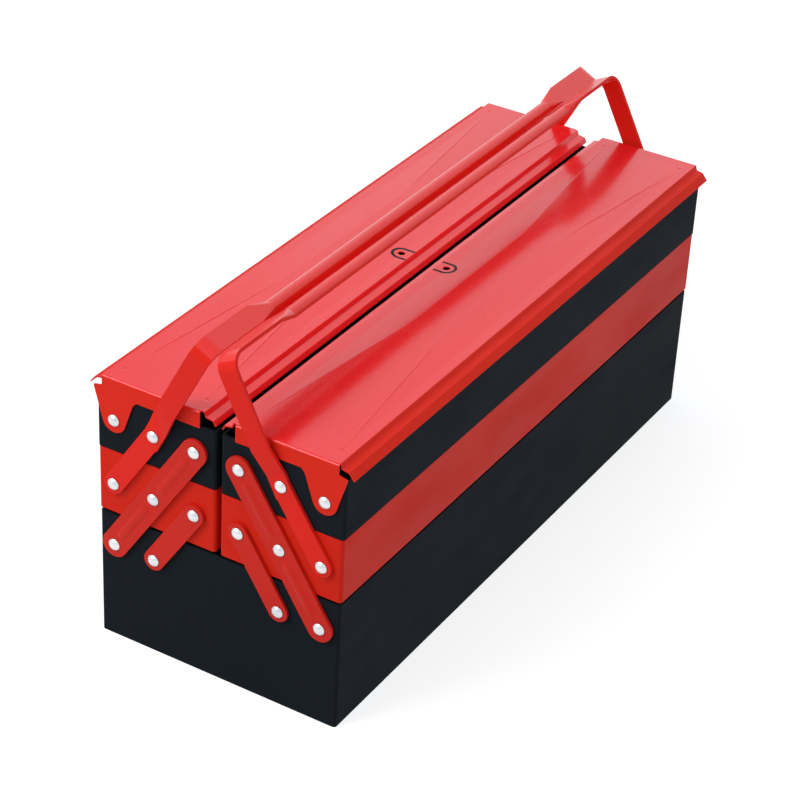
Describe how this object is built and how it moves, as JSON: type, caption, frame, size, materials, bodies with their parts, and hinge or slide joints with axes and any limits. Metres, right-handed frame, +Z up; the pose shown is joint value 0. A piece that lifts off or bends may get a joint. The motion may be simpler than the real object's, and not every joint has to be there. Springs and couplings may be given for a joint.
{
  "type": "cantilever tool box",
  "caption": "Steel cantilever tool box: base tray, middle and upper trays on riveted parallel links, pressed lids and two strip handles.",
  "frame": {"origin": "bottom centre of the bounding box with the box closed, on the surface that it stands on", "axes": "+Z up, +Y along the length from the front end to the rear end, +X to the right bank seen from the front end"},
  "size_m": [0.214, 0.546, 0.2744],
  "materials": {
    "red_paint": "gloss red powder coat on sheet steel",
    "black_paint": "satin blue-black powder coat on sheet steel",
    "rivet_metal": "bright domed rivet heads"
  },
  "bodies": {
    "base": {"base_tray": "black_paint", "base_end_front": "black_paint", "base_end_rear": "black_paint", "base_rivets": "rivet_metal"},
    "long_links_left": {"long_link_left_front": "red_paint", "long_link_left_rear": "red_paint"},
    "short_links_left": {"short_link_left_front": "red_paint", "short_link_left_rear": "red_paint"},
    "mid_left": {"mid_tray_left": "red_paint", "mid_end_left_front": "red_paint", "mid_end_left_rear": "red_paint", "mid_rivets_left": "rivet_metal"},
    "upper_left": {"upper_tray_left": "black_paint", "upper_end_left_front": "black_paint", "upper_end_left_rear": "black_paint", "upper_rivets_left": "rivet_metal"},
    "handle_left": {"handle_left": "red_paint"},
    "lid_left": {"lid_left": "red_paint", "lid_end_left_front": "red_paint", "lid_end_left_rear": "red_paint"},
    "long_links_right": {"long_link_right_front": "red_paint", "long_link_right_rear": "red_paint"},
    "short_links_right": {"short_link_right_front": "red_paint", "short_link_right_rear": "red_paint"},
    "mid_right": {"mid_tray_right": "red_paint", "mid_end_right_front": "red_paint", "mid_end_right_rear": "red_paint", "mid_rivets_right": "rivet_metal"},
    "upper_right": {"upper_tray_right": "black_paint", "upper_end_right_front": "black_paint", "upper_end_right_rear": "black_paint", "upper_rivets_right": "rivet_metal"},
    "handle_right": {"handle_right": "red_paint"},
    "lid_right": {"lid_right": "red_paint", "lid_end_right_front": "red_paint", "lid_end_right_rear": "red_paint"}
  },
  "joints": [
    {"name": "fold_left", "type": "hinge", "parent": "base", "child": "long_links_left", "pos_m": [-0.0858, 0, 0.0814], "axis": [0, -1, 0], "range_deg": [0, 67]},
    {"name": "short_link_left", "type": "hinge", "parent": "base", "child": "short_links_left", "pos_m": [-0.052, 0, 0.0814], "axis": [0, -1, 0], "range_deg": [0, 67]},
    {"name": "mid_tray_left", "type": "hinge", "parent": "long_links_left", "child": "mid_left", "pos_m": [-0.052, 0, 0.1329], "axis": [0, -1, 0], "range_deg": [-67, 0]},
    {"name": "upper_tray_left", "type": "hinge", "parent": "long_links_left", "child": "upper_left", "pos_m": [-0.0182, 0, 0.1844], "axis": [0, -1, 0], "range_deg": [-67, 0]},
    {"name": "handle_left", "type": "hinge", "parent": "mid_left", "child": "handle_left", "pos_m": [-0.0858, 0, 0.1329], "axis": [0, -1, 0], "range_deg": [0, 67]},
    {"name": "lid_left", "type": "hinge", "parent": "upper_left", "child": "lid_left", "pos_m": [-0.0858, 0, 0.1844], "axis": [0, -1, 0], "range_deg": [0, 67]},
    {"name": "fold_right", "type": "hinge", "parent": "base", "child": "long_links_right", "pos_m": [0.0858, 0, 0.0814], "axis": [0, 1, 0], "range_deg": [0, 67]},
    {"name": "short_link_right", "type": "hinge", "parent": "base", "child": "short_links_right", "pos_m": [0.052, 0, 0.0814], "axis": [0, 1, 0], "range_deg": [0, 67]},
    {"name": "mid_tray_right", "type": "hinge", "parent": "long_links_right", "child": "mid_right", "pos_m": [0.052, 0, 0.1329], "axis": [0, 1, 0], "range_deg": [-67, 0]},
    {"name": "upper_tray_right", "type": "hinge", "parent": "long_links_right", "child": "upper_right", "pos_m": [0.0182, 0, 0.1844], "axis": [0, 1, 0], "range_deg": [-67, 0]},
    {"name": "handle_right", "type": "hinge", "parent": "mid_right", "child": "handle_right", "pos_m": [0.0858, 0, 0.1329], "axis": [0, 1, 0], "range_deg": [0, 67]},
    {"name": "lid_right", "type": "hinge", "parent": "upper_right", "child": "lid_right", "pos_m": [0.0858, 0, 0.1844], "axis": [0, 1, 0], "range_deg": [0, 67]}
  ],
  "couplings": [
    {"joint": "short_link_left", "follows": "fold_left", "ratio": 1},
    {"joint": "mid_tray_left", "follows": "fold_left", "ratio": -1},
    {"joint": "upper_tray_left", "follows": "fold_left", "ratio": -1},
    {"joint": "handle_left", "follows": "fold_left", "ratio": 1},
    {"joint": "lid_left", "follows": "fold_left", "ratio": 1},
    {"joint": "short_link_right", "follows": "fold_right", "ratio": 1},
    {"joint": "mid_tray_right", "follows": "fold_right", "ratio": -1},
    {"joint": "upper_tray_right", "follows": "fold_right", "ratio": -1},
    {"joint": "handle_right", "follows": "fold_right", "ratio": 1},
    {"joint": "lid_right", "follows": "fold_right", "ratio": 1}
  ]
}
